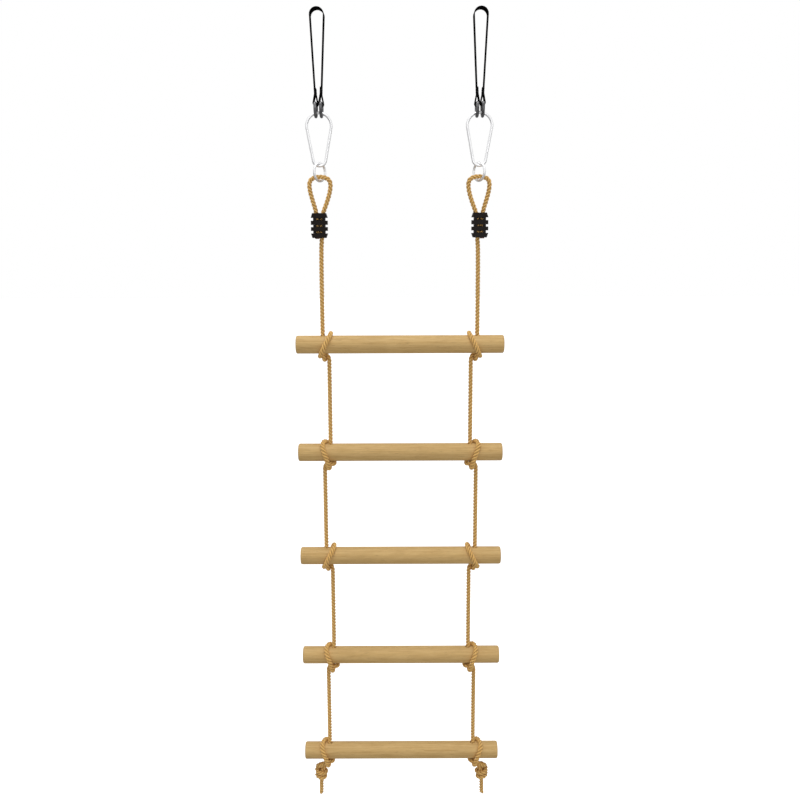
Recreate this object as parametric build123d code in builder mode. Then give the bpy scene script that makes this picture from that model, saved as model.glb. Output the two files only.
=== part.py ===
"""Short rope ladder: five round wooden rungs on two side ropes, hung from two webbing straps.

Millimetres, +Z up, rungs along X, the front faces -Y.
The origin is midway between the undersides of the two strap crowns, where the hanging bars bear.
Both sides are alike: side is -1 for left and 1 for right, and "out" is the distance from the middle.
"""

import os
from math import acos, asin, atan2, cos, degrees, pi, radians, sin, tan

from build123d import *

# rungs
rung_count = 5
rung_length = 350.0
rung_d = 30.5
rung_end_round = 3.0
first_rung_z = -535.0
rung_pitch = 186.5
rung_hole_d = 9.0

# rope
rope_d = 7.0
rope_out = 130.0  # the outer line of a side rope
hitch_step = 10.5  # each hitch moves the rope this far sideways
hitch_reach = 31.7  # a hitch ends this far below its rung's axis

# hanging hardware, all centred on rope_out
web_width = 25.0
web_thick = 1.4
crown_r = 11.0  # centre of the web
limb_end_out = 5.2
limb_end_z = -130.0
sewn_length = 12.0
bar_z = -145.0  # straight bar of the D-rings
bar_out = 4.5
d_wire = 5.0
d_half_width = 15.5
d_bottom_z = -164.9
carabiner_wire = 4.7
carabiner_top_r = 20.0
carabiner_top_z = -159.0
carabiner_end_r = 10.3
carabiner_end_z = -242.25
gate_hinge_z = -219.5
gate_nose_z = -185.0
ring_wire = 4.2
ring_r = 14.4
ring_turn = 33.0  # the ring's plane, turned from the YZ plane
eye_gap = 0.9  # rope eye above the ring's wire

# rope clamp
clamp_out = 132.0
clamp_top_z = -317.6
clamp_height = 40.2
clamp_neck_width = 19.5
clamp_rib_width = 27.0
clamp_end_width = 22.0
clamp_neck_depth = 15.0
clamp_rib_depth = 18.0
channel_step = 3.9  # rope channel centre from the clamp's centre
channel_r = rope_d / 2 + 0.25

# stopper knot
knot_out = 147.0
knot_width = 22.0
knot_height = 29.5
knot_drop = 42.7  # knot centre below the last rung's axis
tail_drop = 88.9

clearance = 0.3
rope_r = rope_d / 2
fold_drop = hitch_reach + clearance + rope_r  # the rope folds this far below a rung's axis
ring_z = carabiner_end_z + carabiner_wire / 2 + clearance + ring_wire / 2 - ring_r
ring_low_z = ring_z - ring_r
eye_top_z = ring_low_z + ring_wire / 2 + eye_gap + rope_r
sides = {"left": -1, "right": 1}
parts = {}


def rung_z(number):
    """Height of a rung's axis."""
    return first_rung_z - (number - 1) * rung_pitch


def is_outer(number):
    """The rope enters odd rungs on its outer line and even rungs on its inner line."""
    return number % 2 == 1


def hole_out(number):
    return rope_out if is_outer(number) else rope_out - hitch_step


def keep(name, part):
    """Label a finished piece and remember it under its node's name."""
    part.label = name
    parts[name] = part


def turn_at(before, corner, after):
    """The angle by which a route turns at a corner, in radians."""
    one = (corner - before).normalized()
    two = (after - corner).normalized()
    return acos(max(-1.0, min(1.0, one.dot(two))))


def arc_radii(points):
    """Each corner's radius: 0.45 of its shorter run over the tangent of half the turn."""
    route = [Vector(*p) for p in points]
    radii = []
    for before, corner, after in zip(route, route[1:], route[2:]):
        run = min((corner - before).length, (after - corner).length)
        radii.append(0.45 * run / tan(turn_at(before, corner, after) / 2))
    return radii


def tube(points, radius):
    """A round tube along straight runs joined by tangent arcs, with its path's length."""
    with BuildPart() as piece:
        with BuildLine() as route:
            FilletPolyline(*points, radius=arc_radii(points))
        path = route.wires()[0]
        with BuildSketch(Plane(origin=path @ 0, z_dir=path % 0)):
            Circle(radius)
        sweep(path=path)
    return piece.part, path.length


def rope_piece(name, points, round_start=False):
    """A plain rope solid, with its length, arc radii and volume printed.

    A span starts with a half ball on its fold, so that it turns clear of the hitch above.
    """
    rope, length = tube(points, rope_r)
    radii = arc_radii(points)
    share = rope.volume / (pi * rope_r**2 * length)
    print(f"{name}: length {length:.1f}, radii {min(radii):.1f} to {max(radii):.1f}, "
          f"volume {share:.4f} of section x length")
    if round_start:
        with BuildPart() as whole:
            add(rope)
            with Locations(points[0]):
                Sphere(rope_r, arc_size1=0)
        rope = whole.part
    keep(name, rope)


# Each hitch in its own frame: the rope comes down the drilled hole on the Z axis, turns a bight under
# its own end, climbs the rung, crosses the top, comes down the far face, passes through the bight
# and leaves hitch_step to the side. +X is the way the rope steps.
bight = [(1.6, -1.6, -22.6), (2.4, 6.2, -27.6), (3.4, 14.5, -23.2)]
wrap_angles = (-25, 22, 66, 110, 154, 198, 242)
step_in_wrap = (4.5, 9.0, 13.5, 14.0, 8.5, 1.5, -4.5)
step_out_wrap = (6.0, 12.0, 14.3, 9.0, 3.5, -1.5, -6.5)
wrap_r = (rung_d / 2 + clearance + rope_r) / cos(radians(22))


def hitch_points(steps, leave):
    """Bight, turn round the rung with one sideways step for each angle, tuck, and the way out."""
    turn = [
        (step, wrap_r * cos(radians(angle)), wrap_r * sin(radians(angle)))
        for step, angle in zip(steps, wrap_angles)
    ]
    tuck = [(steps[-1] - 2.6, 1.0, -21.4), (steps[-1] + 3.2, 7.4, -18.9)]
    return [(0, 0, -13)] + bight + turn + tuck + leave


leave_down = [(7.6, 5.6, -18.9), (hitch_step, 0, -26.0), (hitch_step, 0, -hitch_reach)]
leave_to_knot = [(8.5, 5.0, -18.9), (14.5, 1.8, -19.6), (17.0, 0, -23.4), (17.0, 0, -27.6)]


def on_side(side, out, y, z):
    return (side * out, y, z)


def hitched(side, number, last):
    """A hitch's points on its rung: odd rungs step the rope in, the others are turned about Z."""
    inward = is_outer(number) and not last
    steps = step_in_wrap if inward else step_out_wrap
    leave = leave_to_knot if last else leave_down
    turned = -1 if inward else 1
    return [
        on_side(side, hole_out(number) + turned * x, -turned * y, rung_z(number) + z)
        for x, y, z in hitch_points(steps, leave)
    ]


# the eye, from the cut tail up the outer leg, over the ring and down the inner leg to rung 1
eye_route = [
    (clamp_out + channel_step, clamp_top_z - clamp_height - 2.8),
    (clamp_out + channel_step, -326.0),
    (137.4, -314.0),
    (142.0, -299.0),
    (147.2, -280.0),
    (147.2, -265.6),
    (137.5, eye_top_z),
    (122.5, eye_top_z),
    (112.8, -265.6),
    (112.8, -280.0),
    (118.4, -299.0),
    (124.8, -315.0),
    (clamp_out - channel_step, -327.0),
    (clamp_out - channel_step, -359.0),
    (rope_out, -378.0),
]


def make_ropes():
    """One piece from the eye to rung 1's hitch, then one piece for each span and its hitch."""
    for word, side in sides.items():
        eye = [on_side(side, out, 0, z) for out, z in eye_route]
        rope_piece(f"rope_{word}_1", eye + hitched(side, 1, False))
        for number in range(2, rung_count + 1):
            fold = on_side(side, hole_out(number), 0, rung_z(number - 1) - fold_drop)
            points = [fold] + hitched(side, number, number == rung_count)
            rope_piece(f"rope_{word}_{number}", points, round_start=True)


def make_knots():
    """The overhand stopper knot's outer shape, with the tail below it."""
    centre_z = rung_z(rung_count) - knot_drop
    half = knot_height / 2
    for word, side in sides.items():
        axis = Plane(origin=(side * knot_out, 0, centre_z), x_dir=(1, 0, 0), z_dir=(0, -1, 0))
        with BuildPart() as stopper_knot:
            with BuildSketch(axis):
                with BuildLine():
                    Polyline((0, half), (5.0, half))
                    ThreePointArc((5.0, half), (knot_width / 2, 0), (5.0, -half))
                    Polyline((5.0, -half), (rope_r, -half), (rope_r, knot_drop - tail_drop))
                    Polyline((rope_r, knot_drop - tail_drop), (0, knot_drop - tail_drop), (0, half))
                make_face()
            revolve(axis=Axis(axis.origin, (0, 0, 1)), revolution_arc=360)
        keep(f"stopper_knot_{word}", stopper_knot.part)


def make_rungs():
    """A rounded dowel with a hole drilled down through it for each side rope."""
    for number in range(1, rung_count + 1):
        start = Plane(origin=(-rung_length / 2, 0, rung_z(number)), z_dir=(1, 0, 0))
        above = Plane.XY.offset(rung_z(number) + rung_d)
        with BuildPart() as rung:
            with BuildSketch(start):
                Circle(rung_d / 2)
            extrude(amount=rung_length)
            fillet(rung.edges().filter_by(GeomType.CIRCLE), rung_end_round)
            with Locations(above):
                with Locations((-hole_out(number), 0), (hole_out(number), 0)):
                    Hole(rung_hole_d / 2, depth=2 * rung_d)
        keep(f"rung_{number}", rung.part)


def make_straps():
    """Webbing folded over the bar, each end turned back round a D-ring's bar and sewn."""
    crown_z = web_thick / 2 - crown_r
    lean = atan2(crown_r - limb_end_out, crown_z - limb_end_z)
    eye_r = d_wire / 2 + clearance
    shoulder = (crown_r * cos(lean), crown_z - crown_r * sin(lean))
    sewn_out = limb_end_out - web_thick / 2
    for word, side in sides.items():
        plane = Plane(origin=(side * rope_out, 0, 0), x_dir=(1, 0, 0), z_dir=(0, -1, 0))
        with BuildPart() as strap:
            with BuildSketch(plane):
                with BuildLine():
                    ThreePointArc((-shoulder[0], shoulder[1]), (0, web_thick / 2), shoulder)
                trace(line_width=web_thick)
            extrude(amount=web_width / 2, both=True)
            for end in (-1, 1):
                with BuildSketch(plane):
                    with BuildLine():
                        Line((end * shoulder[0], shoulder[1]), (end * limb_end_out, limb_end_z))
                    trace(line_width=web_thick)
                extrude(amount=web_width / 2, both=True)
                with BuildSketch(plane):
                    with Locations((end * bar_out, bar_z)):
                        Circle(eye_r + web_thick)
                    with Locations((end * sewn_out, limb_end_z + sewn_length / 2)):
                        Rectangle(2 * web_thick, sewn_length)
                    make_hull()
                extrude(amount=web_width / 2, both=True)
                with BuildSketch(plane):
                    with Locations((end * bar_out, bar_z)):
                        Circle(eye_r)
                    with Locations((end * sewn_out, limb_end_z - 4)):
                        Circle(0.2)
                    make_hull()
                extrude(amount=web_width / 2, both=True, mode=Mode.SUBTRACT)
        keep(f"strap_{word}", strap.part)


def make_d_rings():
    """Round wire bent to a D: a straight bar above, limbs and a half-round bow below."""
    limb_low = d_bottom_z + d_half_width
    for word, side in sides.items():
        for place, offset in {"outer": bar_out, "inner": -bar_out}.items():
            plane = Plane(
                origin=(side * (rope_out + offset), 0, 0), x_dir=(0, 1, 0), z_dir=(1, 0, 0)
            )
            with BuildPart() as d_ring:
                with BuildLine(plane) as bow:
                    top = FilletPolyline(
                        (-d_half_width, limb_low), (-d_half_width, bar_z),
                        (d_half_width, bar_z), (d_half_width, limb_low), radius=3.4,
                    )
                    ThreePointArc(top @ 1, (0, d_bottom_z), top @ 0)
                with BuildSketch(Plane(origin=top @ 0.5, z_dir=top % 0.5)):
                    Circle(d_wire / 2)
                sweep(path=bow.wires()[0])
            keep(f"d_ring_{word}_{place}", d_ring.part)


# the pear of the carabiner: two arcs and their common tangents
top_centre_z = carabiner_top_z - carabiner_top_r
end_centre_z = carabiner_end_z + carabiner_end_r
taper = asin((carabiner_top_r - carabiner_end_r) / (top_centre_z - end_centre_z))
top_tangent = (carabiner_top_r * cos(taper), top_centre_z - carabiner_top_r * sin(taper))
end_tangent = (carabiner_end_r * cos(taper), end_centre_z - carabiner_end_r * sin(taper))


def on_limb(z):
    """How far from the carabiner's middle its straight limb runs at a height."""
    share = (z - end_tangent[1]) / (top_tangent[1] - end_tangent[1])
    return end_tangent[0] + share * (top_tangent[0] - end_tangent[0])


tongue_thick = 1.4
slot_width = 2.0
pin_d = 1.6


def carabiner_plane(side, y=0.0):
    """Drawing plane of a carabiner, its X pointing to the gate's side and its Y up."""
    return Plane(origin=(side * rope_out, y, 0), x_dir=(side, 0, 0), z_dir=(0, -side, 0))


def limb_box(side, low_z, high_z, width, thick):
    """A slab along the gate's limb between two heights, for tongues and slots."""
    middle = (low_z + high_z) / 2
    with BuildPart() as slab:
        with BuildSketch(carabiner_plane(side)):
            with Locations(Location((on_limb(middle), middle), -degrees(taper))):
                Rectangle(width, (high_z - low_z) / cos(taper))
        extrude(amount=thick / 2, both=True)
    return slab.part


def make_carabiners():
    """The bent wire body with a tongue at each end of its opening, and the gate between them."""
    for word, side in sides.items():
        plane = carabiner_plane(side)
        with BuildPart() as body:
            with BuildLine(plane) as wire:
                Line((on_limb(gate_hinge_z - 3.0), gate_hinge_z - 3.0), end_tangent)
                ThreePointArc(
                    end_tangent, (0, carabiner_end_z), (-end_tangent[0], end_tangent[1])
                )
                Line((-end_tangent[0], end_tangent[1]), (-top_tangent[0], top_tangent[1]))
                ThreePointArc(
                    (-top_tangent[0], top_tangent[1]), (0, carabiner_top_z), top_tangent
                )
                Line(top_tangent, (on_limb(gate_nose_z), gate_nose_z))
            path = wire.wires()[0]
            with BuildSketch(Plane(origin=path @ 0, z_dir=path % 0)):
                Circle(carabiner_wire / 2)
            sweep(path=path)
            add(limb_box(side, gate_hinge_z - 4.4, gate_hinge_z + 2.2, 3.4, tongue_thick))
            add(limb_box(side, gate_nose_z - 3.4, gate_nose_z + 1.2, 2.6, tongue_thick))
            with BuildSketch(plane):
                with Locations((on_limb(gate_hinge_z), gate_hinge_z)):
                    Circle(pin_d / 2 + 0.05)
            extrude(amount=carabiner_wire, both=True, mode=Mode.SUBTRACT)
        keep(f"carabiner_body_{word}", body.part)

        foot = Vector(side * (rope_out + on_limb(gate_hinge_z - 2.4)), 0, gate_hinge_z - 2.4)
        tip_z = gate_nose_z - clearance
        tip = Vector(side * (rope_out + on_limb(tip_z)), 0, tip_z)
        along = (tip - foot).normalized()
        with BuildPart() as gate:
            with BuildSketch(Plane(origin=foot, z_dir=along)):
                Circle(carabiner_wire / 2)
            extrude(amount=(tip - foot).length)
            add(limb_box(side, gate_hinge_z - 6, gate_hinge_z + 3.4, 8, slot_width),
                mode=Mode.SUBTRACT)
            add(limb_box(side, gate_nose_z - 4.6, gate_nose_z + 3, 8, slot_width),
                mode=Mode.SUBTRACT)
            with BuildSketch(plane):
                with Locations((on_limb(gate_hinge_z), gate_hinge_z)):
                    Circle(pin_d / 2)
            extrude(amount=carabiner_wire, both=True, mode=Mode.SUBTRACT)
        keep(f"gate_{word}", gate.part)

        with BuildPart() as pin:
            with BuildSketch(plane):
                with Locations((on_limb(gate_hinge_z), gate_hinge_z)):
                    Circle(pin_d / 2)
            extrude(amount=carabiner_wire / 2 + 0.1, both=True)
        keep(f"gate_pin_{word}", pin.part)


def make_rings():
    """The welded round ring that joins a carabiner to the rope's eye."""
    for word, side in sides.items():
        turn = radians(ring_turn)
        normal = (cos(turn), side * sin(turn), 0)
        centre = Plane(origin=(side * rope_out, 0, ring_z), z_dir=normal)
        with BuildPart() as ring:
            with BuildLine(centre) as circle:
                CenterArc((0, 0), ring_r, 0, 360)
            path = circle.wires()[0]
            with BuildSketch(Plane(origin=path @ 0, z_dir=path % 0)):
                Circle(ring_wire / 2)
            sweep(path=path)
        keep(f"ring_{word}", ring.part)


def clamp_levels():
    """Heights below the clamp's top where its side changes width, as (start, end, half widths)."""
    rib, end = clamp_rib_width / 2, clamp_end_width / 2
    return [
        (0.0, 7.7, end, rib),
        (12.2, 19.0, rib, rib),
        (22.6, 28.8, rib, rib),
        (33.0, clamp_height, rib, end),
    ]


def make_clamps():
    """Two moulded half shells, ribbed at the sides, with windows in the front one and snap pegs."""
    pegs = [(x, z) for x in (-10.6, 10.6) for z in (-4.6, -15.6, -25.7, -35.8)]
    for word, side in sides.items():
        centre = side * clamp_out
        channel = tube([on_side(side, out, 0, z) for out, z in eye_route], channel_r)[0]
        for half, front in {"front": -1, "back": 1}.items():
            face = Plane(origin=(centre, 0, clamp_top_z), x_dir=(1, 0, 0), z_dir=(0, -1, 0))
            reach = -front
            with BuildPart() as shell:
                with BuildSketch(face):
                    with Locations((0, -clamp_height / 2)):
                        Rectangle(clamp_neck_width, clamp_height)
                extrude(amount=reach * clamp_neck_depth / 2)
                with BuildSketch(face):
                    for high, low, wide_high, wide_low in clamp_levels():
                        with BuildLine():
                            Polyline(
                                (-wide_high, -high), (wide_high, -high),
                                (wide_low, -low), (-wide_low, -low), close=True,
                            )
                        make_face()
                extrude(amount=reach * clamp_rib_depth / 2)
                fillet(shell.edges().filter_by(Axis.Z).group_by(Axis.Y)[0 if front < 0 else -1], 1.6)
                add(channel, mode=Mode.SUBTRACT)
                if front < 0:
                    with BuildSketch(face):
                        with Locations(*[(0, -z) for z in (9.95, 20.8, 30.9)]):
                            Rectangle(10.4, 2.7)
                    extrude(amount=clamp_rib_depth, mode=Mode.SUBTRACT)
                with BuildSketch(face):
                    with Locations(*pegs):
                        Circle(0.9 if front > 0 else 1.0)
                if front > 0:
                    extrude(amount=2.5)
                else:
                    extrude(amount=3.0, mode=Mode.SUBTRACT)
            keep(f"clamp_{half}_{word}", shell.part)


make_rungs()
make_ropes()
make_knots()
make_straps()
make_d_rings()
make_carabiners()
make_rings()
make_clamps()

os.makedirs("parts", exist_ok=True)
for name, part in parts.items():
    export_step(part, f"parts/{name}.step")
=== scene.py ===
import math

import bpy
import numpy as np
from mathutils import Matrix, Vector


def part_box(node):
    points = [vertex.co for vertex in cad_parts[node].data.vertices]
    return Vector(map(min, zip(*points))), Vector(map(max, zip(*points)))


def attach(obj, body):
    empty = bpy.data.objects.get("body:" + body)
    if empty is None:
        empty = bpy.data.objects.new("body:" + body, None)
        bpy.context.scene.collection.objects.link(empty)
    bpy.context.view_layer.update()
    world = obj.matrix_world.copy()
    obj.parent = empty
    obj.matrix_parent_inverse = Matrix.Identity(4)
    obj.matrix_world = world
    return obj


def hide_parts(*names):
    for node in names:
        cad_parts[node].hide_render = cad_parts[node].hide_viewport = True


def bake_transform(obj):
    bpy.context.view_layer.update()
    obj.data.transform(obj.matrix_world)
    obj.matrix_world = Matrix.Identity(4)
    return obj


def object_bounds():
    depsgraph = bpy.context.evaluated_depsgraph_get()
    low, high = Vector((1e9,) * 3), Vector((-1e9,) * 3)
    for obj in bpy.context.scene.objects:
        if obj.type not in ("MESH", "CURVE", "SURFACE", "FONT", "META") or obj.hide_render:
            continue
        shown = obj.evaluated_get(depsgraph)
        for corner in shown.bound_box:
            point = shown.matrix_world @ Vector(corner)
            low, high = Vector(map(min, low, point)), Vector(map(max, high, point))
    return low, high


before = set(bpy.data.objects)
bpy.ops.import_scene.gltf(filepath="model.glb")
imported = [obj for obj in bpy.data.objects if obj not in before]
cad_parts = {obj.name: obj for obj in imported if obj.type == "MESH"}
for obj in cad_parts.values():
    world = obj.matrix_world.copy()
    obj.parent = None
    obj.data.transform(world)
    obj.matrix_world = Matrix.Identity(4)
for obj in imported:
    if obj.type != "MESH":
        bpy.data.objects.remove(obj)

# Rope ladder with wooden rungs, hung by two webbing straps. Metres, +Z up, rungs along X, front at -Y.
# Both sides are alike: side is -1 for left and 1 for right, and "out" is the distance from the middle.

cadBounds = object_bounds()
sides = {"left": -1, "right": 1}
rungNodes = sorted(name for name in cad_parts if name.startswith("rung_"))


def rungZ(number):
    low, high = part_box(f"rung_{number}")
    return (low[2] + high[2]) / 2


# Camera, in front of the ladder and looking a little down.

cameraLook = {
    "place": (-0.0003, -1.5928, -0.334),
    "pitch": 10.545,  # degrees below level
    "roll": -0.2,
    "lens": 42.79,
}


def placeCamera(look):
    # turned down by the pitch about X, then rolled about its own line of view
    data = bpy.data.cameras.new("camera")
    data.lens = look["lens"]
    data.sensor_width = 36.0
    camera = bpy.data.objects.new("camera", data)
    bpy.context.scene.collection.objects.link(camera)
    turn = Matrix.Rotation(math.radians(90 - look["pitch"]), 4, "X")
    roll = Matrix.Rotation(math.radians(look["roll"]), 4, "Z")
    camera.matrix_world = Matrix.Translation(look["place"]) @ turn @ roll
    bpy.context.scene.camera = camera


placeCamera(cameraLook)
print("camera placed")


# Ropes, webbing and stitches are made from grids of points.

def unit(vectors):
    return vectors / np.linalg.norm(vectors, axis=-1, keepdims=True)


def gridCorners(rows, columns, closed):
    # the four corners of each cell, as (row, column) pairs; a closed grid joins its last column to its first
    cells = columns if closed else columns - 1
    row, column = np.meshgrid(np.arange(rows - 1), np.arange(cells), indexing="ij")
    row, column = row.ravel(), column.ravel()
    return np.stack([row, row, row + 1, row + 1], 1), np.stack([column, column + 1, column + 1, column], 1)


def meshFromGrids(name, grids):
    # each grid is (points, uv, closed round, capped): points are rows x columns x 3, uv has one more column
    # where the grid is closed; a cap is a fan round the middle of the first and of the last row
    corners, places, uvs, sizes, count = [], [], [], [], 0
    for points, uv, closed, capped in grids:
        rows, columns = points.shape[:2]
        row, column = gridCorners(rows, columns, closed)
        corners.append((count + row * columns + column % columns).ravel())
        uvs.append(uv[row, column].reshape(-1, 2))
        sizes.append(np.full(len(row), 4))
        places.append(points.reshape(-1, 3))
        count += rows * columns
        if capped:
            edge = np.arange(columns)
            after = (edge + 1) % columns
            for end, order in ((0, (after, edge)), (rows - 1, (edge, after))):
                base = count - rows * columns if end == 0 else count - 1 - columns
                centre = np.full(columns, count)
                corners.append(np.stack([centre, base + order[0], base + order[1]], 1).ravel())
                middle = uv[end].mean(axis=0)
                fan = [np.tile(middle, (columns, 1)), uv[end][order[0]], uv[end][order[1]]]
                uvs.append(np.stack(fan, 1).reshape(-1, 2))
                sizes.append(np.full(columns, 3))
                places.append(points[end].mean(axis=0)[None])
                count += 1
    places, corners = np.concatenate(places), np.concatenate(corners)
    uvs, sizes = np.concatenate(uvs), np.concatenate(sizes)
    mesh = bpy.data.meshes.new(name)
    mesh.vertices.add(len(places))
    mesh.vertices.foreach_set("co", places.astype(np.float32).ravel())
    mesh.loops.add(len(corners))
    mesh.loops.foreach_set("vertex_index", corners.astype(np.int32))
    mesh.polygons.add(len(sizes))
    mesh.polygons.foreach_set("loop_start", np.concatenate([[0], np.cumsum(sizes)[:-1]]).astype(np.int32))
    mesh.polygons.foreach_set("use_smooth", sizes == 4)
    layer = mesh.uv_layers.new(name="UVMap")
    layer.data.foreach_set("uv", uvs.astype(np.float32).ravel())
    mesh.update()
    mesh.validate()
    return mesh


def addPiece(name, mesh, *materials):
    for material in materials:
        mesh.materials.append(material)
    piece = bpy.data.objects.new(name, mesh)
    bpy.context.scene.collection.objects.link(piece)
    return piece


# The lines that ropes and webbing follow.

def nurbsLine(points, perSpan=20):
    # the smooth line that has the route's points as its control points, read back as a row of points
    data = bpy.data.curves.new("route", "CURVE")
    data.dimensions = "3D"
    data.resolution_u = perSpan
    spline = data.splines.new("NURBS")
    spline.points.add(len(points) - 1)
    spline.points.foreach_set("co", np.column_stack([points, np.ones(len(points))]).ravel())
    spline.order_u = 3
    spline.use_endpoint_u = True
    holder = bpy.data.objects.new("route", data)
    bpy.context.scene.collection.objects.link(holder)
    bpy.context.view_layer.update()
    mesh = bpy.data.meshes.new_from_object(holder)
    line = np.empty(len(mesh.vertices) * 3)
    mesh.vertices.foreach_get("co", line)
    bpy.data.objects.remove(holder)
    bpy.data.curves.remove(data)
    bpy.data.meshes.remove(mesh)
    return line.reshape(-1, 3)


def evenly(line, step):
    # the same line with points an even step apart, and each point's distance along it
    steps = np.linalg.norm(np.diff(line, axis=0), axis=1)
    far = np.concatenate([[0], np.cumsum(steps)])
    along = np.linspace(0, far[-1], int(round(far[-1] / step)) + 1)
    return np.stack([np.interp(along, far, line[:, k]) for k in range(3)], 1), along


def framesAlong(line):
    # tangents, and two directions square to them that don't twist along the line: any normal is
    # taken at each point, and its turn against the one before it, carried over, is added up and undone
    tangent = unit(np.gradient(line, axis=0))
    helper = np.eye(3)[np.abs(tangent).argmin(axis=1)]
    normal = unit(np.cross(helper, tangent))
    before, after = tangent[:-1], tangent[1:]
    hinge = np.cross(before, after)
    swung = np.cross(hinge, normal[:-1])
    share = 1 + (before * after).sum(axis=1, keepdims=True)
    carried = normal[:-1] + swung + np.cross(hinge, swung) / share
    sine = (np.cross(carried, normal[1:]) * after).sum(axis=1)
    slip = np.arctan2(sine, (carried * normal[1:]).sum(axis=1))
    turn = np.concatenate([[0], np.cumsum(slip)])[:, None]
    other = np.cross(tangent, normal)
    steady = normal * np.cos(turn) - other * np.sin(turn)
    return tangent, steady, np.cross(tangent, steady)


# Short ways to add nodes, and the patterns that materials share.

def newMaterial(name):
    material = bpy.data.materials.new(name)
    material.use_nodes = True
    nodes = material.node_tree.nodes
    return material, nodes, material.node_tree.links, nodes["Principled BSDF"]


def addNode(nodes, kind, **values):
    # a node with its settings and its sockets' values set by name
    node = nodes.new(kind)
    for name, value in values.items():
        if name in node.inputs:
            node.inputs[name].default_value = value
        else:
            setattr(node, name, value)
    return node


def mathNode(nodes, links, operation, *inputs):
    # a Math node whose inputs are sockets or plain numbers; returns its output
    node = nodes.new("ShaderNodeMath")
    node.operation = operation
    for place, value in enumerate(inputs):
        if isinstance(value, (int, float)):
            node.inputs[place].default_value = value
        else:
            links.new(value, node.inputs[place])
    return node.outputs[0]


def mixColours(nodes, links, share, first, second):
    # first where the share is 0 and second where it is 1; colours are sockets or plain values
    node = addNode(nodes, "ShaderNodeMix", data_type="RGBA")
    for place, value in ((0, share), (6, first), (7, second)):
        if isinstance(value, bpy.types.NodeSocket):
            links.new(value, node.inputs[place])
        elif isinstance(value, tuple):
            node.inputs[place].default_value = (*value, 1)
        else:
            node.inputs[place].default_value = value
    return node.outputs[2]


def spread(nodes, links, value, low, high, toLow=0.0, toHigh=1.0):
    # the value stretched from one range to another and held inside it
    node = nodes.new("ShaderNodeMapRange")
    links.new(value, node.inputs["Value"])
    for name, number in (("From Min", low), ("From Max", high), ("To Min", toLow), ("To Max", toHigh)):
        node.inputs[name].default_value = number
    return node.outputs["Result"]


def newGroup(name, inputs, outputs):
    group = bpy.data.node_groups.new(name, "ShaderNodeTree")
    for label, value in inputs.items():
        kind = "NodeSocketVector" if isinstance(value, tuple) else "NodeSocketFloat"
        group.interface.new_socket(name=label, in_out="INPUT", socket_type=kind).default_value = value
    for label in outputs:
        group.interface.new_socket(name=label, in_out="OUTPUT", socket_type="NodeSocketFloat")
    nodes = group.nodes
    inside, outside = nodes.new("NodeGroupInput"), nodes.new("NodeGroupOutput")
    return group, nodes, group.links, inside.outputs, outside.inputs


def useGroup(nodes, links, group, vector, **values):
    node = nodes.new("ShaderNodeGroup")
    node.node_tree = group
    links.new(vector, node.inputs["Vector"])
    for name, value in values.items():
        node.inputs[name].default_value = value
    return node.outputs


def finishSurface(nodes, links, surface, height, distance, strength):
    # the height drives a Bump node into the surface's normal
    bump = addNode(nodes, "ShaderNodeBump", Strength=strength, Distance=distance)
    links.new(height, bump.inputs["Height"])
    links.new(bump.outputs["Normal"], surface.inputs["Normal"])


def makeWearGroup():
    # soft blotches, fine specks and thin scuffs, all from noise at one scale
    group, nodes, links, inputs, outputs = newGroup(
        "handling_wear", {"Vector": (0, 0, 0), "Scale": 60.0}, ["Blotch", "Speck", "Scuff"])
    fine = mathNode(nodes, links, "MULTIPLY", inputs["Scale"], 9.0)
    for label, scale, detail in (("Blotch", inputs["Scale"], 3.0), ("Speck", fine, 2.0)):
        noise = addNode(nodes, "ShaderNodeTexNoise", Detail=detail, Roughness=0.55)
        links.new(inputs["Vector"], noise.inputs["Vector"])
        links.new(scale, noise.inputs["Scale"])
        links.new(noise.outputs["Fac"], outputs[label])
    stretch = addNode(nodes, "ShaderNodeMapping", Scale=(1.0, 1.0, 0.12), Rotation=(0.3, 0.5, 0.0))
    links.new(inputs["Vector"], stretch.inputs["Vector"])
    streak = addNode(nodes, "ShaderNodeTexNoise", Detail=4.0, Roughness=0.7)
    links.new(stretch.outputs["Vector"], streak.inputs["Vector"])
    links.new(fine, streak.inputs["Scale"])
    links.new(spread(nodes, links, streak.outputs["Fac"], 0.60, 0.72), outputs["Scuff"])
    return group


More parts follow.
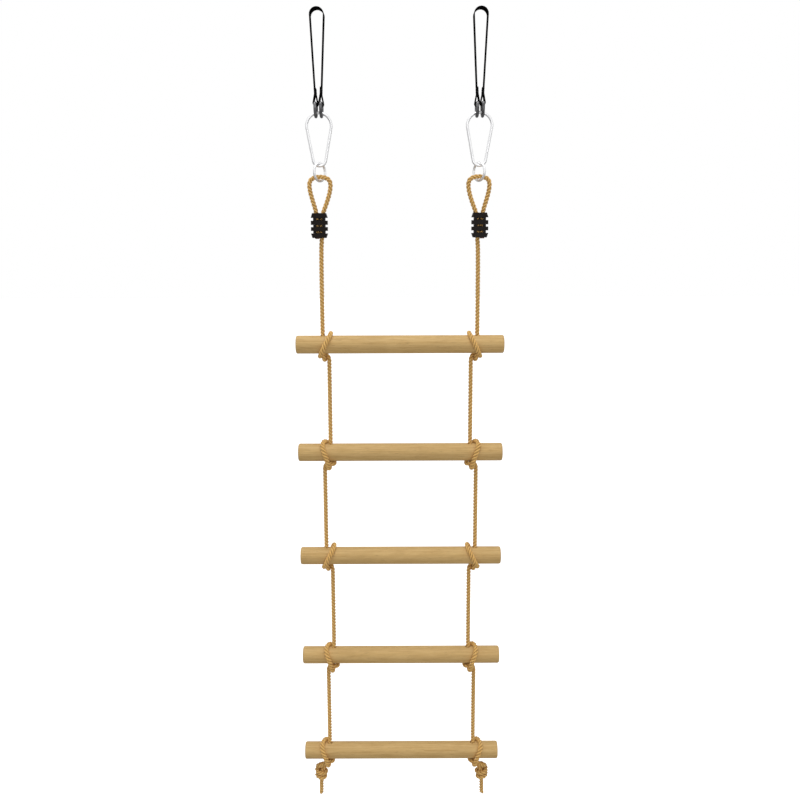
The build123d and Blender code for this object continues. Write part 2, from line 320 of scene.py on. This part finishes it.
def makeYarnGroup():
    # for UVs with one turn of the rope across and one lay along: how near a groove a point is,
    # the round of its yarn, and thin fibres that run the yarn's way
    group, nodes, links, inputs, outputs = newGroup(
        "yarn_lay", {"Vector": (0, 0, 0), "Strands": 3.0, "Yarns": 24.0}, ["Groove", "Yarn", "Fibre"])
    split = nodes.new("ShaderNodeSeparateXYZ")
    links.new(inputs["Vector"], split.inputs[0])
    lobe = mathNode(nodes, links, "MULTIPLY", split.outputs["X"], inputs["Strands"])
    lobe = mathNode(nodes, links, "FRACT", mathNode(nodes, links, "ADD", lobe, 0.5))
    lobe = mathNode(nodes, links, "ABSOLUTE", mathNode(nodes, links, "SUBTRACT", lobe, 0.5))
    links.new(mathNode(nodes, links, "MULTIPLY", lobe, 2.0), outputs["Groove"])
    across = mathNode(nodes, links, "ADD", split.outputs["X"], split.outputs["Y"])
    across = mathNode(nodes, links, "MULTIPLY", across, inputs["Yarns"])
    wander = addNode(nodes, "ShaderNodeTexNoise", Scale=2.2, Detail=1.0)
    links.new(inputs["Vector"], wander.inputs["Vector"])
    bent = mathNode(nodes, links, "MULTIPLY", wander.outputs["Fac"], 2.5)
    across = mathNode(nodes, links, "ADD", across, bent)
    wave = mathNode(nodes, links, "SINE", mathNode(nodes, links, "MULTIPLY", across, 2 * math.pi))
    links.new(mathNode(nodes, links, "MULTIPLY_ADD", wave, 0.5, 0.5), outputs["Yarn"])
    thread = nodes.new("ShaderNodeCombineXYZ")
    links.new(mathNode(nodes, links, "MULTIPLY", across, 4.0), thread.inputs["X"])
    links.new(mathNode(nodes, links, "MULTIPLY", split.outputs["Y"], 5.0), thread.inputs["Y"])
    fibre = addNode(nodes, "ShaderNodeTexNoise", Scale=1.0, Detail=3.0, Roughness=0.6)
    links.new(thread.outputs[0], fibre.inputs["Vector"])
    links.new(fibre.outputs["Fac"], outputs["Fibre"])
    return group


def makeGrainGroup():
    # timber about a pith line along X: rings by distance from it, fibres and short pores drawn out along X
    group, nodes, links, inputs, outputs = newGroup(
        "length_grain", {"Vector": (0, 0, 0), "Ring Width": 0.0026, "Figure": 0.012},
        ["Ring", "Fibre", "Pore", "Cloud"])
    long = addNode(nodes, "ShaderNodeMapping", Scale=(3.0, 55.0, 55.0))
    links.new(inputs["Vector"], long.inputs["Vector"])
    sway = addNode(nodes, "ShaderNodeTexNoise", Scale=1.0, Detail=2.0)
    links.new(long.outputs["Vector"], sway.inputs["Vector"])
    flat = addNode(nodes, "ShaderNodeVectorMath", operation="MULTIPLY")
    flat.inputs[1].default_value = (0.0, 1.0, 1.0)
    links.new(inputs["Vector"], flat.inputs[0])
    away = addNode(nodes, "ShaderNodeVectorMath", operation="LENGTH")
    links.new(flat.outputs[0], away.inputs[0])
    drift = mathNode(nodes, links, "MULTIPLY", sway.outputs["Fac"], inputs["Figure"])
    ring = mathNode(nodes, links, "ADD", away.outputs["Value"], drift)
    ring = mathNode(nodes, links, "DIVIDE", ring, inputs["Ring Width"])
    ring = mathNode(nodes, links, "FRACT", ring)
    links.new(mathNode(nodes, links, "POWER", ring, 2.5), outputs["Ring"])
    drawnOut = (
        ("Fibre", (45.0, 1500.0, 1500.0), 0.3, 0.7),
        ("Pore", (80.0, 1500.0, 1500.0), 0.60, 0.72),
        ("Cloud", (26.0, 230.0, 230.0), 0.35, 0.68),
    )
    for label, stretch, low, high in drawnOut:
        drawn = addNode(nodes, "ShaderNodeMapping", Scale=stretch)
        links.new(inputs["Vector"], drawn.inputs["Vector"])
        noise = addNode(nodes, "ShaderNodeTexNoise", Scale=1.0, Detail=3.0, Roughness=0.6)
        links.new(drawn.outputs["Vector"], noise.inputs["Vector"])
        links.new(spread(nodes, links, noise.outputs["Fac"], low, high), outputs[label])
    return group


wearGroup, yarnGroup, grainGroup = makeWearGroup(), makeYarnGroup(), makeGrainGroup()


# Materials, one for each finish and one for each rung.

# the rope's fibre colours: the brown for the grooves is painted shade, and the sealed colour is the melted
# cut end
fibreLook = {"light": (0.95, 0.60, 0.195), "mid": (0.91, 0.53, 0.155), "grooveShade": (0.26, 0.125, 0.026),
             "sealed": (0.20, 0.058, 0.02)}
woodLook = {"early": (0.75, 0.51, 0.205), "late": (0.54, 0.325, 0.105), "pore": (0.34, 0.19, 0.06)}


def ropeMaterial():
    material, nodes, links, surface = newMaterial("rope_fibre")
    uv = nodes.new("ShaderNodeUVMap").outputs[0]
    place = nodes.new("ShaderNodeTexCoord").outputs["Object"]
    yarn = useGroup(nodes, links, yarnGroup, uv)
    wear = useGroup(nodes, links, wearGroup, place, Scale=35.0)
    colour = mixColours(nodes, links, yarn["Fibre"], fibreLook["mid"], fibreLook["light"])
    patch = spread(nodes, links, wear["Blotch"], 0.35, 0.65, 0.0, 0.45)
    colour = mixColours(nodes, links, patch, colour, fibreLook["light"])
    # painted shade: the colour darkens into the grooves between the strands and into the gaps between the
    # yarns
    depth = mathNode(nodes, links, "POWER", yarn["Groove"], 3.0)
    yarnGapShade = mathNode(nodes, links, "MULTIPLY", mathNode(nodes, links, "SUBTRACT", 1.0, yarn["Yarn"]), 0.16)
    shade = mathNode(nodes, links, "MAXIMUM", mathNode(nodes, links, "MULTIPLY", depth, 0.8), yarnGapShade)
    colour = mixColours(nodes, links, shade, colour, fibreLook["grooveShade"])
    seal = addNode(nodes, "ShaderNodeAttribute", attribute_name="sealed").outputs["Fac"]
    seal = spread(nodes, links, seal, 0.0, 0.5)
    colour = mixColours(nodes, links, seal, colour, fibreLook["sealed"])
    links.new(colour, surface.inputs["Base Color"])
    links.new(spread(nodes, links, seal, 0.0, 1.0, 0.78, 0.35), surface.inputs["Roughness"])
    surface.inputs["Sheen Weight"].default_value = 0.12
    surface.inputs["Sheen Roughness"].default_value = 0.5
    height = mathNode(nodes, links, "MULTIPLY_ADD", yarn["Fibre"], 0.5, yarn["Yarn"])
    finishSurface(nodes, links, surface, height, 0.00022, 0.8)
    return material


def woodMaterial(number):
    # each rung is cut from its own place in the plank: the pith lies below and behind it, at its own offset
    material, nodes, links, surface = newMaterial(f"rung_wood_{number}")
    place = nodes.new("ShaderNodeTexCoord").outputs["Object"]
    pith = (0.37 * number, 0.019 + 0.004 * (number % 3), 0.012 * (-1) ** number - rungZ(number))
    cut = addNode(nodes, "ShaderNodeMapping", Location=pith)
    links.new(place, cut.inputs["Vector"])
    grain = useGroup(nodes, links, grainGroup, cut.outputs["Vector"])
    wear = useGroup(nodes, links, wearGroup, place, Scale=18.0)
    ring = mathNode(nodes, links, "MULTIPLY", grain["Ring"], 0.48)
    tone = mathNode(nodes, links, "MULTIPLY_ADD", grain["Fibre"], 0.30, ring)
    tone = mathNode(nodes, links, "MULTIPLY_ADD", grain["Cloud"], 0.42, tone)
    colour = mixColours(nodes, links, tone, woodLook["early"], woodLook["late"])
    pores = mathNode(nodes, links, "MULTIPLY", grain["Pore"], 0.75)
    colour = mixColours(nodes, links, pores, colour, woodLook["pore"])
    grime = spread(nodes, links, wear["Blotch"], 0.52, 0.75, 0.0, 0.12)
    colour = mixColours(nodes, links, grime, colour, woodLook["pore"])
    links.new(colour, surface.inputs["Base Color"])
    links.new(spread(nodes, links, tone, 0.0, 1.0, 0.52, 0.68), surface.inputs["Roughness"])
    raised = mathNode(nodes, links, "MULTIPLY", grain["Fibre"], 0.5)
    height = mathNode(nodes, links, "SUBTRACT", raised, grain["Pore"])
    finishSurface(nodes, links, surface, height, 0.00012, 0.5)
    return material


def metalMaterial(name, light, dark, roughness, scale):
    material, nodes, links, surface = newMaterial(name)
    place = nodes.new("ShaderNodeTexCoord").outputs["Object"]
    wear = useGroup(nodes, links, wearGroup, place, Scale=scale)
    blotch = spread(nodes, links, wear["Blotch"], 0.35, 0.65)
    colour = mixColours(nodes, links, blotch, light, dark)
    colour = mixColours(nodes, links, mathNode(nodes, links, "MULTIPLY", wear["Scuff"], 0.35), colour, light)
    links.new(colour, surface.inputs["Base Color"])
    surface.inputs["Metallic"].default_value = 1.0
    rough = mathNode(nodes, links, "MULTIPLY_ADD", wear["Speck"], 0.10, roughness - 0.05)
    links.new(rough, surface.inputs["Roughness"])
    height = mathNode(nodes, links, "SUBTRACT", wear["Speck"], wear["Scuff"])
    finishSurface(nodes, links, surface, height, 0.00002, 0.3)
    return material


def plasticMaterial():
    material, nodes, links, surface = newMaterial("clamp_plastic")
    place = nodes.new("ShaderNodeTexCoord").outputs["Object"]
    wear = useGroup(nodes, links, wearGroup, place, Scale=120.0)
    scuffed = mathNode(nodes, links, "MULTIPLY", wear["Scuff"], 0.5)
    colour = mixColours(nodes, links, scuffed, (0.006, 0.0032, 0.0022), (0.035, 0.028, 0.022))
    links.new(colour, surface.inputs["Base Color"])
    links.new(mathNode(nodes, links, "MULTIPLY_ADD", wear["Blotch"], 0.25, 0.38), surface.inputs["Roughness"])
    surface.inputs["Specular IOR Level"].default_value = 0.16
    finishSurface(nodes, links, surface, wear["Speck"], 0.00008, 0.35)
    return material


def webMaterial(name, base, lift):
    # black yarn with painted light: the crowns of the weave are painted paler as a sheen, more so where it
    # has been rubbed, and the grooves of the weave are painted darker as shade
    material, nodes, links, surface = newMaterial(name)
    uv = nodes.new("ShaderNodeUVMap").outputs[0]
    place = nodes.new("ShaderNodeTexCoord").outputs["Object"]
    yarn = useGroup(nodes, links, yarnGroup, uv, Strands=1.0, Yarns=6.0)
    wear = useGroup(nodes, links, wearGroup, place, Scale=45.0)
    rubbed = spread(nodes, links, wear["Blotch"], 0.35, 0.7, 0.25, 1.0)
    # painted sheen: the crowns of the weave are lifted paler, scaled by the rubbed wear
    crown = mathNode(nodes, links, "MULTIPLY", yarn["Yarn"], spread(nodes, links, yarn["Fibre"], 0.35, 0.65))
    colour = mixColours(nodes, links, mathNode(nodes, links, "MULTIPLY", crown, rubbed), base, lift)
    # painted shade: the colour is darkened towards black along the grooves of the weave
    edge = mathNode(nodes, links, "MULTIPLY", yarn["Groove"], 0.6)
    colour = mixColours(nodes, links, edge, colour, (0.002, 0.002, 0.002))
    links.new(colour, surface.inputs["Base Color"])
    links.new(spread(nodes, links, yarn["Fibre"], 0.0, 1.0, 0.62, 0.85), surface.inputs["Roughness"])
    surface.inputs["Specular IOR Level"].default_value = 0.0
    finishSurface(nodes, links, surface, yarn["Yarn"], 0.00008, 0.6)
    return material


ropeFibre = ropeMaterial()
webbing = webMaterial("webbing_black", (0.005, 0.005, 0.0052), (0.050, 0.050, 0.052))
thread = webMaterial("sewing_thread", (0.030, 0.030, 0.031), (0.12, 0.12, 0.122))
zinc = metalMaterial("zinc_steel", (0.93, 0.93, 0.935), (0.86, 0.86, 0.87), 0.42, 60.0)
darkSteel = metalMaterial("dark_steel", (0.22, 0.22, 0.225), (0.10, 0.10, 0.105), 0.38, 110.0)
plastic = plasticMaterial()


def paint(prefix, material):
    # every CAD node whose name starts with the prefix gets the material in its slot
    for name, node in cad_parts.items():
        if name.startswith(prefix):
            node.data.materials.clear()
            node.data.materials.append(material)


finishes = {"carabiner_body_": zinc, "gate_": zinc, "ring_": zinc, "d_ring_": darkSteel, "clamp_": plastic}
for prefix, material in finishes.items():
    paint(prefix, material)
for number in range(1, len(rungNodes) + 1):
    paint(f"rung_{number}", woodMaterial(number))
print("materials made")


# Side ropes: one continuous rope on each side, cut at the folds.

rope = {
    "diameter": 0.007,
    "lay": 0.0176,  # one full turn of the strands
    "strandCentre": 0.00198,
    "strandRadius": 0.00193,
    "step": 0.00105,
    "around": 42,
    "foldDrop": 0.0355,  # each span folds this far below the rung above it
    "bend": 0.028,  # length over which a folded span bends
    "cutSlant": 0.5,
    "sealed": 0.0035,  # length of the melt at the cut end of the eye
    "tailSealed": (0.002, 0.12),  # length and strength of the melt at the tail
    "slantFade": 0.008,  # length over which the slant of the cut dies away
    "windows": (-0.32755, -0.3384, -0.3485),  # heights of the clamp's windows
    "windowHalf": 0.0013,  # half-height of the bulge in a window
    "squeeze": 0.0026,
    "pressed": 0.12,  # how much wider the rope is where it bears on a rung
    "bearing": (0.006, 0.008),  # how far off the ladder's plane that starts, and over what depth it grows
}
hitch = {
    "step": 0.0105,
    "rungR": 0.0305 / 2,
    "gap": 0.0003,  # between the rung and the rope
    "wrapPitch": 44,  # degrees between the points of the wrap
    "holeOuter": 0.130,
}
# the wrap's control points lie outside its circle, by the cosine of half their pitch
wrapRadius = hitch["rungR"] + hitch["gap"] + rope["diameter"] / 2
wrapRadius /= math.cos(math.radians(hitch["wrapPitch"] / 2))

# the hitch in its own frame, as (sideways, front to back, up): down the hole, a bight under it,
# round the rung, through the bight and out
bight = [(0.0016, -0.0016, -0.0226), (0.0024, 0.0062, -0.0276), (0.0034, 0.0145, -0.0232)]
wrapAngles = np.radians((-25, 22, 66, 110, 154, 198, 242))
stepInWrap = (0.0045, 0.0090, 0.0135, 0.0140, 0.0085, 0.0015, -0.0038)
stepOutWrap = (0.0060, 0.0120, 0.0143, 0.0090, 0.0035, -0.0015, -0.0045)
leaveDown = [(0.0076, 0.0056, -0.0189), (0.0105, 0, -0.0260), (0.0105, 0, -0.0317)]
bightToKnot = [(0.0016, -0.0016, -0.0210), (0.0022, 0.0062, -0.0258), (0.0032, 0.0145, -0.0226)]
leaveToKnot = [(0.0080, 0.0072, -0.0208), (0.0130, 0.0078, -0.0246), (0.0180, 0.0072, -0.0276)]

# the eye as (out, up), from the cut tail up the outer leg, over the ring and down the inner leg
eyeRoute = [
    (0.1359, -0.3594), (0.1359, -0.3260), (0.1374, -0.3140), (0.1420, -0.2990), (0.1472, -0.2800),
    (0.1472, -0.2656), (0.1375, -0.2598), (0.1225, -0.2598), (0.1128, -0.2656), (0.1128, -0.2800),
    (0.1184, -0.2990), (0.1248, -0.3150), (0.1281, -0.3270), (0.1281, -0.3590), (0.1300, -0.3780),
]

# the stopper knot about its own upright axis, as (out, forward, up): across the front and down the
# middle, two turns round that going up, then down the middle again and out as the tail
knotCentre = (0.1466, -0.0414)
knotPath = [
    (0.0050, 0.0046, 0.0120), (0.0070, -0.0008, 0.0108), (0.0034, -0.0044, 0.0072),
    (0.0004, -0.0034, 0.0000), (-0.0028, -0.0020, -0.0060), (-0.0072, -0.0004, -0.0092),
    (-0.0062, 0.0062, -0.0094), (0.0000, 0.0092, -0.0088), (0.0064, 0.0064, -0.0080),
    (0.0090, 0.0000, -0.0064), (0.0064, -0.0064, -0.0044), (0.0000, -0.0090, -0.0028),
    (-0.0064, -0.0064, -0.0012), (-0.0090, 0.0000, -0.0004), (-0.0066, 0.0066, -0.0004),
    (0.0000, 0.0096, -0.0004), (0.0066, 0.0066, 0.0004), (0.0090, -0.0004, 0.0034),
    (0.0062, -0.0062, 0.0066), (0.0008, -0.0074, 0.0096), (-0.0066, -0.0036, 0.0116),
    (-0.0056, 0.0028, 0.0096), (-0.0010, 0.0030, 0.0004), (-0.0004, 0.0022, -0.0090),
    (-0.0004, 0.0026, -0.0160), (0.0000, 0.0016, -0.0220), (0.0002, 0.0010, -0.0290),
    (0.0002, 0.0004, -0.0370), (0.0008, 0.0000, -0.0446),
]


def hitchPoints(side, number, last):
    # odd rungs step the rope inwards; the others are the same hitch turned half round
    inward = number % 2 == 1 and not last
    steps = np.array(stepInWrap if inward else stepOutWrap)
    if last:
        steps[-1] += 0.0010
    wrap = np.stack([steps, wrapRadius * np.cos(wrapAngles), wrapRadius * np.sin(wrapAngles)], 1)
    tuck = [(steps[-1] - 0.0020, 0.0010, -0.0204), (steps[-1] + 0.0034, 0.0074, -0.0188)]
    under, leave = (bightToKnot, leaveToKnot) if last else (bight, leaveDown)
    own = np.concatenate([[(0, 0, -0.013)], under, wrap, tuck, leave])
    turned = -1 if inward else 1
    out = hitch["holeOuter"] - (0 if number % 2 == 1 else hitch["step"])
    return np.stack([side * (out + turned * own[:, 0]), -turned * own[:, 1], rungZ(number) + own[:, 2]], 1)


def knotPoints(side):
    out, forward, up = np.array(knotPath).T
    return np.stack([side * (knotCentre[0] + out), -forward, rungZ(len(rungNodes)) + knotCentre[1] + up], 1)


def ropeRoute(side):
    eye = [(side * out, 0, up) for out, up in eyeRoute]
    hitches = [hitchPoints(side, number, number == len(rungNodes)) for number in range(1, len(rungNodes) + 1)]
    return np.concatenate([eye, *hitches, knotPoints(side)])


def strandRadius(angle):
    # three round strands side by side: at each angle, the far side of the nearest strand's circle
    near = (angle + math.pi / 3) % (2 * math.pi / 3) - math.pi / 3
    centre, radius = rope["strandCentre"], rope["strandRadius"]
    return centre * np.cos(near) + np.sqrt(radius ** 2 - (centre * np.sin(near)) ** 2)


def laidRope(line, along, side):
    # the three-lobed profile carried along the line and turned once for each lay; the two sides are mirrored
    tangent, normal, other = framesAlong(line)
    angle = np.linspace(0, 2 * math.pi, rope["around"], endpoint=False)
    turned = angle[None, :] + side * 2 * math.pi * along[:, None] / rope["lay"]
    start, depth = rope["bearing"]
    bearing = np.clip((np.abs(line[:, 1]) - start) / depth, 0, 1)
    away = strandRadius(angle)[None, :, None] * (1 + rope["pressed"] * bearing)[:, None, None]
    radial = normal[:, None, :] * np.cos(turned)[..., None] + other[:, None, :] * np.sin(turned)[..., None]
    points = line[:, None, :] + away * radial
    # the lower end is cut on a slant
    fade = np.clip((along - along[-1] + rope["slantFade"]) / rope["slantFade"], 0, 1)[:, None]
    slant = (away[..., 0] * (radial @ np.array([side, 0.0, 0.0]))) * rope["cutSlant"] * fade
    points = points + slant[..., None] * tangent[:, None, :]
    # the clamp squeezes the rope forward into its windows
    facing = np.clip(-points[..., 1] / rope["strandCentre"] / 2, 0, 1)
    for height in rope["windows"]:
        window = np.exp(-(((points[..., 2] - height) / rope["windowHalf"]) ** 2))
        points[..., 1] -= rope["squeeze"] * facing * window
    columns = np.linspace(0, 1, rope["around"] + 1)
    uv = np.stack(np.broadcast_arrays(columns[None, :], side * along[:, None] / rope["lay"]), -1)
    return points, uv


def makeRopes(material):
    for word, side in sides.items():
        line, along = evenly(nurbsLine(ropeRoute(side)), rope["step"])
        points, uv = laidRope(line, along, side)
        tail, melt = rope["tailSealed"]
        sealed = np.clip(1 - along / rope["sealed"], 0, 1)
        sealed = sealed + melt * np.clip(1 - (along[-1] - along) / tail, 0, 1)
        # a span ends where the line drops past the fold under its rung
        folds = [rungZ(number) - rope["foldDrop"] for number in range(1, len(rungNodes))]
        cuts = [0] + [int(np.flatnonzero(line[:, 2] > fold)[-1]) + 1 for fold in folds] + [len(line) - 1]
        for number, (first, last) in enumerate(zip(cuts, cuts[1:]), start=1):
            rows = slice(first, last + 1)
            mesh = meshFromGrids(f"side_rope_{word}_{number}", [(points[rows], uv[rows], True, True)])
            seal = mesh.attributes.new("sealed", "FLOAT", "POINT")
            ends = [sealed[first], sealed[last]]
            seal.data.foreach_set("value", np.concatenate([np.repeat(sealed[rows], rope["around"]), ends]))
            piece = addPiece(f"side_rope_{word}_{number}", mesh, material)
            replaced = [f"rope_{word}_{number}"]
            if number == len(rungNodes):
                replaced.append(f"stopper_knot_{word}")
            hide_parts(*replaced)
            if number == 1:
                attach(piece, "section_1")
            else:
                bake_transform(piece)


makeRopes(ropeFibre)
print("ropes laid")


# Webbing straps, sewn round the D-rings.

web = {
    "width": 0.025,
    "thick": 0.0014,
    "cords": 18,  # warp cords across the web
    "pick": 0.0019,  # one pass of the weft
    "weaveHeight": 0.00012,
    "crownR": 0.011,
    "crownZ": -0.0103,
    "limbEnd": (0.0052, -0.130),
    "bar": (0.0045, -0.145),
    "barR": 0.0035,
    "sewn": 0.0098,
    "soften": 0.004,
}
stitch = {"length": 0.0021, "gap": 0.0027, "radius": 0.00028, "boxHeight": 0.0068, "boxWidth": 0.0205}


def strapPath():
    # half of the closed loop as (out, up): the folded-in end, down and round the bar, up the limb and over
    # the crown; the other half is its mirror image. Corners are rounded by a moving average
    limb = np.array(web["limbEnd"])
    shoulder = np.array([web["crownR"], web["crownZ"]])
    lean = unit(shoulder - limb)
    inward = np.array([-lean[1], lean[0]]) * web["thick"]
    bar = np.array(web["bar"])
    around = np.radians(np.linspace(165, 375, 15))
    eye = bar + web["barR"] * np.stack([np.cos(around), np.sin(around)], 1)
    over = np.linspace(0, math.pi / 2, 12)
    crown = np.array([0, web["crownZ"]]) + web["crownR"] * np.stack([np.cos(over), np.sin(over)], 1)
    half = np.concatenate([[limb + inward + lean * web["sewn"]], [limb + inward], eye, [limb], crown])
    whole = np.concatenate([half, (half * [-1, 1])[::-1][1:]])
    step = web["pick"] / 3
    fine = evenly(np.insert(whole, 1, 0, axis=1), step)[0]
    window = np.hanning(int(web["soften"] / step) + 2)[1:-1]
    window /= window.sum()
    reach = len(window) // 2
    padded = np.pad(fine, ((reach, len(window) - 1 - reach), (0, 0)), mode="reflect", reflect_type="odd")
    soft = np.stack([np.convolve(padded[:, k], window, mode="valid") for k in range(3)], 1)
    return evenly(soft, step)


def webbingGrid(line, along, centre):
    # the flat profile carried along the path: two faces and rounded edges, raised and lowered
    # by the weave, which is a product of two waves
    tangent = unit(np.gradient(line, axis=0))
    outward = np.cross(np.array([0.0, 1.0, 0.0]), tangent)
    across = (np.arange(web["cords"] * 3) + 0.5) / (web["cords"] * 3) - 0.5
    rim = web["thick"] / 2
    face = across * (web["width"] - 2 * rim)
    bend = np.radians([-54, -18, 18, 54])
    y = np.concatenate([face, face[-1] + rim * np.cos(bend), face[::-1], face[0] - rim * np.cos(bend)])
    lift = np.concatenate([np.ones(len(face)), -np.sin(bend), -np.ones(len(face)), np.sin(bend)])
    cords = np.concatenate([across, np.full(4, 0.5), across[::-1], np.full(4, -0.5)]) * web["cords"]
    onFace = np.concatenate([np.ones(len(face)), np.zeros(4), np.ones(len(face)), np.zeros(4)])
    weave = np.cos(math.pi * cords)[None, :] * np.cos(math.pi * along / web["pick"])[:, None]
    crown = np.abs(np.sin(math.pi * cords))[None, :]
    raised = web["weaveHeight"] * onFace * (0.5 * crown + 0.5 * weave)
    thick = lift[None, :] * (rim - web["weaveHeight"] / 2 + raised)
    points = centre + line[:, None, :] + outward[:, None, :] * thick[..., None]
    points[..., 1] += y[None, :]
    columns = np.append(cords, cords[0])
    uv = np.stack(np.broadcast_arrays(columns[None, :], along[:, None] / web["pick"] / 2), -1)
    return points, uv


def stitchLines():
    # starts and ends of the sewing lines on a flat patch: a box and its two diagonals
    high, wide = stitch["boxHeight"] / 2, stitch["boxWidth"] / 2
    corners = [(-wide, -high), (wide, -high), (wide, high), (-wide, high)]
    return [(corners[a], corners[b]) for a, b in ((0, 1), (1, 2), (2, 3), (3, 0), (0, 2), (1, 3))]


def stitchGrids(corner, up, away, centre):
    # each stitch is a short rounded bead lying along its line, half sunk in the web
    turn = np.linspace(0, 2 * math.pi, 6, endpoint=False)
    sweep = np.array([-1.0, -0.75, 0.0, 0.75, 1.0])
    swell = np.array([0.35, 0.85, 1.0, 0.85, 0.35]) * stitch["radius"]
    side = np.array([0.0, 1.0, 0.0])
    grids = []
    for start, end in stitchLines():
        start, end = np.array(start), np.array(end)
        length = np.linalg.norm(end - start)
        along = (end - start) / length
        heading = along[0] * side + along[1] * up
        count = int(length / stitch["gap"])
        for middle in start + np.outer((np.arange(count) + 0.5) / count, end - start):
            place = centre + corner + middle[0] * side + middle[1] * up
            square = np.cross(heading, away)
            rounds = np.cos(turn)[:, None] * away + np.sin(turn)[:, None] * square
            points = place + sweep[:, None, None] * heading * stitch["length"] / 2
            points = points + swell[:, None, None] * rounds
            grids.append((points, np.stack(np.meshgrid(np.linspace(0, 1, 7), sweep), -1), True, True))
    return grids


def makeStraps():
    line, along = strapPath()
    limb = np.array([web["limbEnd"][0], 0, web["limbEnd"][1]])
    lean = unit(np.array([web["crownR"], 0, web["crownZ"]]) - limb)
    for word in sides:
        low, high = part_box(f"strap_{word}")
        centre = np.array([(low[0] + high[0]) / 2, 0, 0])
        points, uv = webbingGrid(line, along, centre)
        mesh = meshFromGrids(f"webbing_strap_{word}", [(points, uv, True, True)])
        piece = addPiece(f"webbing_strap_{word}", mesh, webbing)
        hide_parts(f"strap_{word}")
        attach(piece, "straps")
        grids = []
        for turned in (1, -1):
            flip = np.array([turned, 1, 1])
            away = np.array([lean[2], 0, -lean[0]])
            patch = limb + lean * (web["sewn"] / 2)
            for face, out in ((0.5, 1), (-1.5, -1)):
                corner = (patch + away * web["thick"] * face) * flip
                grids += stitchGrids(corner, lean * flip, away * out * flip, centre)
        sewing = addPiece(f"strap_stitching_{word}", meshFromGrids(f"strap_stitching_{word}", grids), thread)
        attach(sewing, "straps")


makeStraps()
print("straps sewn")


# Studio: a white floor and sky, with two lamps.

studio = {
    "floorDrop": 0.25,
    "floorSize": 30.0,
    "diffuseSky": 0.46,
    "glossySky": 0.92,
    "lamps": {  # place, width and power
        "key": ((-0.4, -1.0, 3.8), 2.6, 104),
        "front": ((0.8, -3.0, -0.9), 2.0, 18),
    },
    "aim": (0.0, 0.0, -0.65),
}


def whiteToCamera(nodes, links, socket, base):
    # the backdrop shows pure white while it lights the object with less
    path = nodes.new("ShaderNodeLightPath")
    shown = addNode(nodes, "ShaderNodeMath", operation="MAXIMUM")
    links.new(path.outputs["Is Camera Ray"], shown.inputs[0])
    links.new(base, shown.inputs[1])
    links.new(shown.outputs[0], socket)


def makeStudio():
    drop = cadBounds[0][2] - studio["floorDrop"]
    half = studio["floorSize"] / 2
    mesh = bpy.data.meshes.new("floor")
    corners = [(-half, -half, drop), (half, -half, drop), (half, half, drop), (-half, half, drop)]
    mesh.from_pydata(corners, [], [(0, 1, 2, 3)])
    white, nodes, links, surface = newMaterial("floor_white")
    surface.inputs["Base Color"].default_value = (0.5, 0.5, 0.5, 1)
    surface.inputs["Roughness"].default_value = 0.9
    surface.inputs["Emission Color"].default_value = (1, 1, 1, 1)
    zero = addNode(nodes, "ShaderNodeValue")
    whiteToCamera(nodes, links, surface.inputs["Emission Strength"], zero.outputs[0])
    floor = addPiece("floor", mesh, white)
    world = bpy.data.worlds.new("studio")
    bpy.context.scene.world = world
    world.use_nodes = True
    nodes, links = world.node_tree.nodes, world.node_tree.links
    path = nodes.new("ShaderNodeLightPath")
    sky = addNode(nodes, "ShaderNodeMapRange")
    sky.inputs["To Min"].default_value = studio["diffuseSky"]
    sky.inputs["To Max"].default_value = studio["glossySky"]
    links.new(path.outputs["Is Glossy Ray"], sky.inputs["Value"])
    nodes["Background"].inputs["Color"].default_value = (1, 1, 1, 1)
    whiteToCamera(nodes, links, nodes["Background"].inputs["Strength"], sky.outputs["Result"])
    bpy.context.scene.view_settings.view_transform = "Standard"
    for name, (place, size, power) in studio["lamps"].items():
        lamp = bpy.data.lights.new(name, "AREA")
        lamp.size = size
        lamp.energy = power
        light = bpy.data.objects.new(name, lamp)
        bpy.context.scene.collection.objects.link(light)
        away = Vector(place) - Vector(studio["aim"])
        light.matrix_world = Matrix.Translation(place) @ away.to_track_quat("Z", "Y").to_matrix().to_4x4()


makeStudio()
